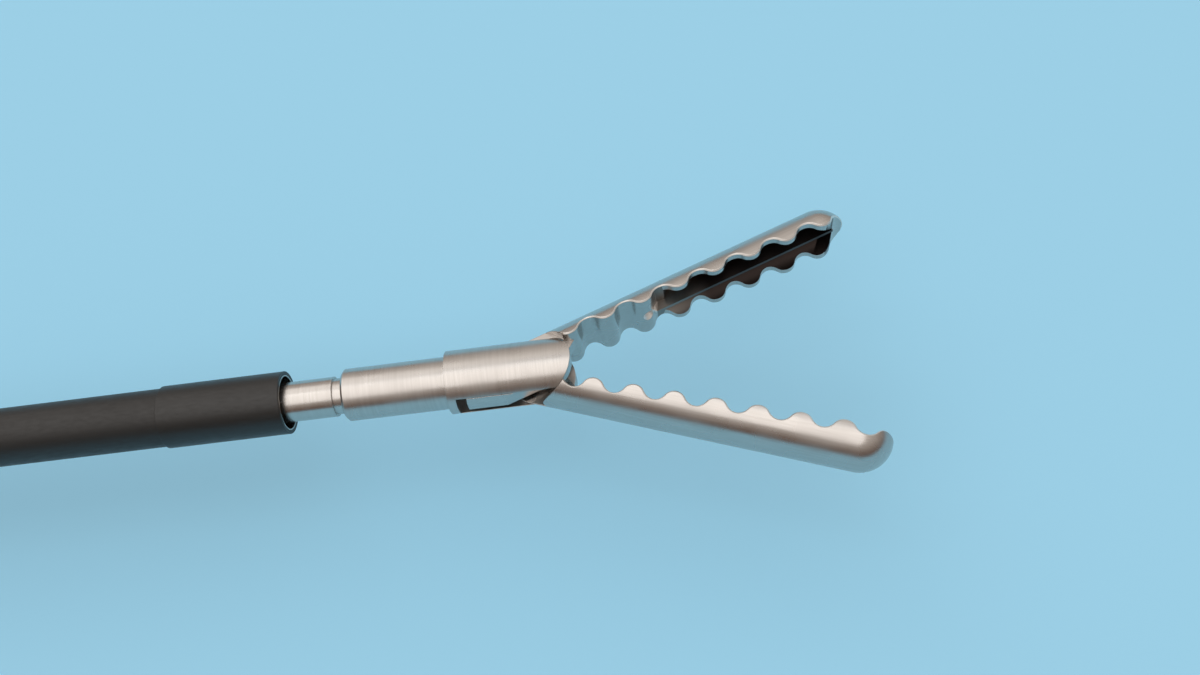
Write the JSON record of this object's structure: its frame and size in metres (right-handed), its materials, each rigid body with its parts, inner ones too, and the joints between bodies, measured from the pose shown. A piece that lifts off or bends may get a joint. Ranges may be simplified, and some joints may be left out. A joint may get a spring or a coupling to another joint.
{
  "type": "laparoscopic grasper",
  "caption": "Laparoscopic grasper with hinged wave-toothed jaws on a slim insulated shaft, a rotation knob and a ring handle with a ratchet.",
  "frame": {"origin": "on the shaft's axis, where the insulated tube leaves the rotation knob's front face", "axes": "+X along the shaft towards the jaws, +Z along the jaw pivot, +Y to the upper jaw's side; the instrument lies on its side"},
  "size_m": [0.4359, 0.125, 0.0246],
  "materials": {
    "jaw_steel": "satin, polished rims",
    "satin_steel": "satin",
    "spring_steel": "bright",
    "insulation_black": "matte",
    "handle_black": "fine matte grain",
    "trigger_grey": "matte",
    "bush_grey": "turned",
    "port_white": "moulded",
    "cap_blue": "soft moulded",
    "silicone": "smooth"
  },
  "bodies": {
    "handle": {"housing_left": "handle_black", "housing_right": "handle_black", "nose_bush": "bush_grey", "screw_front": "satin_steel", "screw_top": "satin_steel", "screw_rear": "satin_steel", "screw_ring": "satin_steel", "lever_pin": "satin_steel", "pawl_pin": "satin_steel", "pawl_spring": "spring_steel", "button_spring": "spring_steel", "hf_pin": "satin_steel", "contact_leaf": "spring_steel", "flush_port": "port_white", "cap_strap": "cap_blue", "cap_pin": "satin_steel"},
    "spindle": {"inner_tube": "satin_steel", "jaw_housing": "jaw_steel", "jaw_pivot_pin": "satin_steel", "spindle_hub": "satin_steel", "retaining_ring": "spring_steel", "seal_ring": "silicone"},
    "outer_tube": {"tube_liner": "satin_steel", "tube_insulation": "insulation_black", "distal_sleeve": "insulation_black", "rotation_knob": "handle_black"},
    "push_rod": {"drive_rod": "satin_steel", "drive_pin": "satin_steel", "rod_end_ball": "satin_steel"},
    "jaw_up": {"upper_jaw": "jaw_steel"},
    "jaw_down": {"lower_jaw": "jaw_steel"},
    "lever": {"thumb_lever": "handle_black", "ratchet_rack": "satin_steel"},
    "pawl": {"ratchet_pawl": "trigger_grey"},
    "cap": {"flush_cap": "cap_blue"},
    "button": {"release_button": "trigger_grey"}
  },
  "joints": [
    {"name": "shaft_rotation", "type": "hinge", "parent": "handle", "child": "spindle", "pos_m": [0, 0, 0], "axis": [1, 0, 0], "continuous": true},
    {"name": "tube_slide", "type": "slide", "parent": "spindle", "child": "outer_tube", "axis": [1, 0, 0], "range_m": [0, 0.013]},
    {"name": "lever_hinge", "type": "hinge", "parent": "handle", "child": "lever", "pos_m": [-0.066, -0.007, 0], "axis": [0, 0, 1], "range_deg": [0, 18]},
    {"name": "rod_slide", "type": "slide", "parent": "spindle", "child": "push_rod", "axis": [1, 0, 0], "range_m": [-0.00221, 0]},
    {"name": "upper_jaw_hinge", "type": "hinge", "parent": "spindle", "child": "jaw_up", "pos_m": [0.296, 0, 0], "axis": [0, 0, 1], "range_deg": [-20.51, 0]},
    {"name": "lower_jaw_hinge", "type": "hinge", "parent": "spindle", "child": "jaw_down", "pos_m": [0.296, 0, 0], "axis": [0, 0, 1], "range_deg": [0, 20.51]},
    {"name": "pawl_hinge", "type": "hinge", "parent": "handle", "child": "pawl", "pos_m": [-0.04002, -0.04057, 0], "axis": [0, 0, -1], "range_deg": [0, 9], "stiffness_Nm_per_rad": 0.05, "springref_deg": -2.86},
    {"name": "cap_hinge", "type": "hinge", "parent": "handle", "child": "cap", "pos_m": [-0.0655, 0.0244, 0], "axis": [0, 0, 1], "range_deg": [-110, 0]},
    {"name": "button_slide", "type": "slide", "parent": "handle", "child": "button", "axis": [0, -1, 0], "range_m": [0, 0.0015], "stiffness_N_per_m": 400, "springref_m": -0.0005}
  ],
  "couplings": [
    {"joint": "rod_slide", "follows": "lever_hinge", "m_per_rad": -0.0070028},
    {"joint": "upper_jaw_hinge", "follows": "lever_hinge", "ratio": -1.1389},
    {"joint": "lower_jaw_hinge", "follows": "lever_hinge", "ratio": 1.1389}
  ]
}
